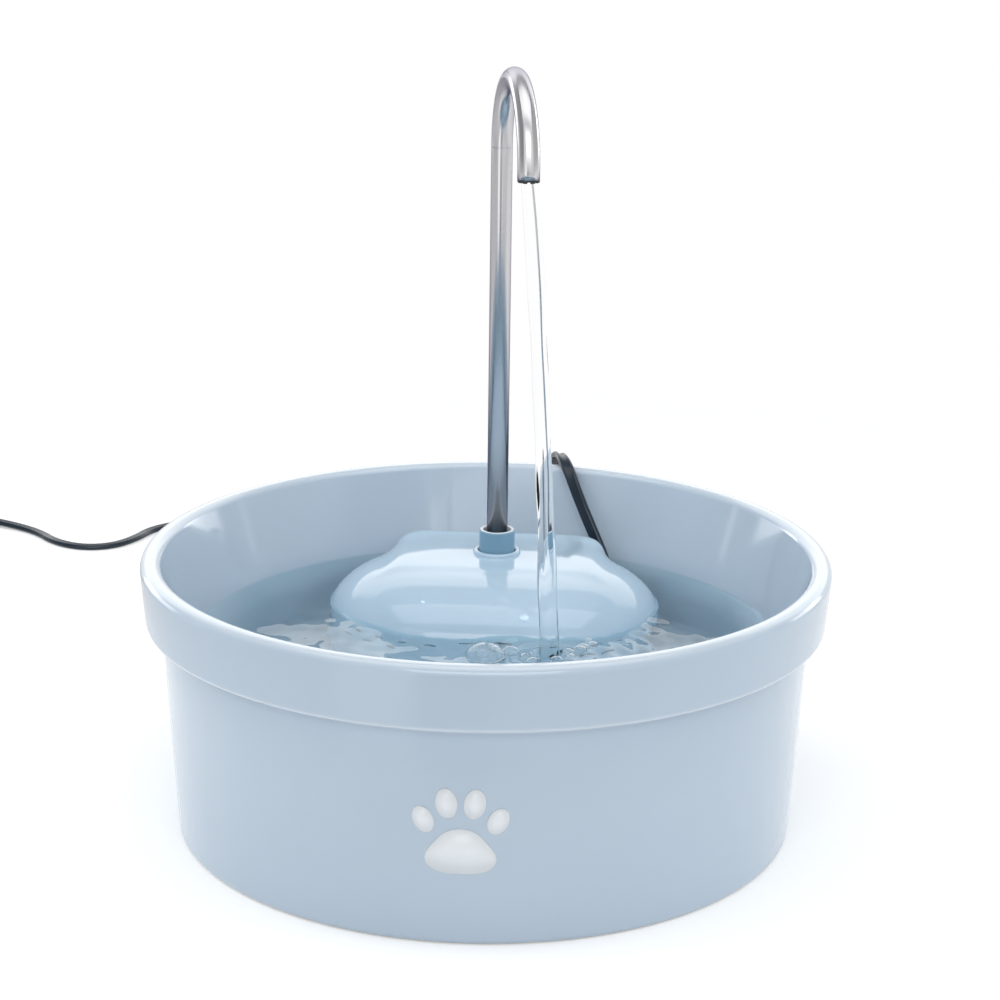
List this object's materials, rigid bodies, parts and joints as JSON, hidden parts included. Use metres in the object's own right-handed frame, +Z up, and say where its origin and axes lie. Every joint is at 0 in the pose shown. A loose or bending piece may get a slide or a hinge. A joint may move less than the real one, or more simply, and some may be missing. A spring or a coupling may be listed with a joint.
{
  "type": "pet water fountain",
  "caption": "Round glazed bowl with a pump under a domed cover, a gooseneck spout on a swivelling collar, and a flat two-wire lead to a USB plug.",
  "frame": {"origin": "on the floor, at the middle of the bowl's foot", "axes": "+Z up; -Y is the drinking side, towards which the spout pours; +X to the right of the drinking side"},
  "size_m": [0.4826, 0.4807, 0.2738],
  "materials": {
    "bowl_glaze": "glossy pale blue-grey glaze",
    "cover_plastic": "glossy moulded plastic",
    "holder_plastic": "moulded plastic",
    "filter_foam": "open-cell foam",
    "carbon_fleece": "non-woven fleece pouch",
    "pump_plastic": "satin moulded plastic",
    "core_steel": "stacked laminations",
    "bobbin_nylon": "moulded nylon",
    "copper_wire": "enamelled copper wire",
    "circuit_board": "solder mask",
    "shaft_ceramic": "ground ceramic",
    "black_rubber": "moulded rubber",
    "dial_plastic": "satin moulded plastic",
    "clear_rubber": "soft clear rubber",
    "ferrite_magnet": "sintered ferrite",
    "impeller_plastic": "moulded plastic",
    "collar_silicone": "satin teal silicone",
    "spout_steel": "polished stainless steel",
    "insert_rubber": "black rubber",
    "cord_pvc": "satin black sheath",
    "tie_plastic": "soft plastic strap",
    "plug_plastic": "moulded plastic",
    "plug_steel": "bright nickel plate",
    "plug_insulator": "moulded plastic"
  },
  "bodies": {
    "root": {"bowl": "bowl_glaze", "pump_housing": "pump_plastic", "pump_back_cap": "pump_plastic", "stator_core": "core_steel", "coil_bobbin": "bobbin_nylon", "coil_winding": "copper_wire", "driver_board": "circuit_board", "impeller_shaft": "shaft_ceramic", "shaft_bushes": "black_rubber", "chamber_cover": "pump_plastic", "chamber_seal": "black_rubber", "intake_grille": "pump_plastic", "outlet_nozzle": "pump_plastic", "suction_cups": "clear_rubber", "cable_gland": "black_rubber", "cord_run": "cord_pvc", "cord_coil": "cord_pvc", "cord_tail": "cord_pvc", "cord_tie": "tie_plastic", "usb_overmould": "plug_plastic", "usb_shell": "plug_steel", "usb_tongue": "plug_insulator"},
    "cover": {"pump_cover": "cover_plastic", "filter_holder": "holder_plastic", "filter_foam": "filter_foam", "carbon_pack": "carbon_fleece"},
    "collar": {"collar": "collar_silicone"},
    "spout": {"spout_tube": "spout_steel", "outlet_insert": "insert_rubber"},
    "impeller": {"rotor_magnet": "ferrite_magnet", "impeller_wheel": "impeller_plastic"},
    "flow_dial": {"flow_dial": "dial_plastic"}
  },
  "joints": [
    {"name": "cover_lift", "type": "slide", "parent": "root", "child": "cover", "axis": [0, 0, 1], "range_m": [0, 0.095]},
    {"name": "spout_swivel", "type": "hinge", "parent": "root", "child": "collar", "pos_m": [0, 0.0553, 0.08], "axis": [0, 0, 1], "range_deg": [-90, 75]},
    {"name": "spout_pull", "type": "slide", "parent": "collar", "child": "spout", "axis": [0, 0, 1], "range_m": [0, 0.03]},
    {"name": "impeller_spin", "type": "hinge", "parent": "root", "child": "impeller", "pos_m": [0, 0.0553, 0.032], "axis": [0, 1, 0], "continuous": true},
    {"name": "flow_dial_turn", "type": "hinge", "parent": "root", "child": "flow_dial", "pos_m": [0, 0.0373, 0.022], "axis": [0, -1, 0], "range_deg": [0, 80]}
  ]
}
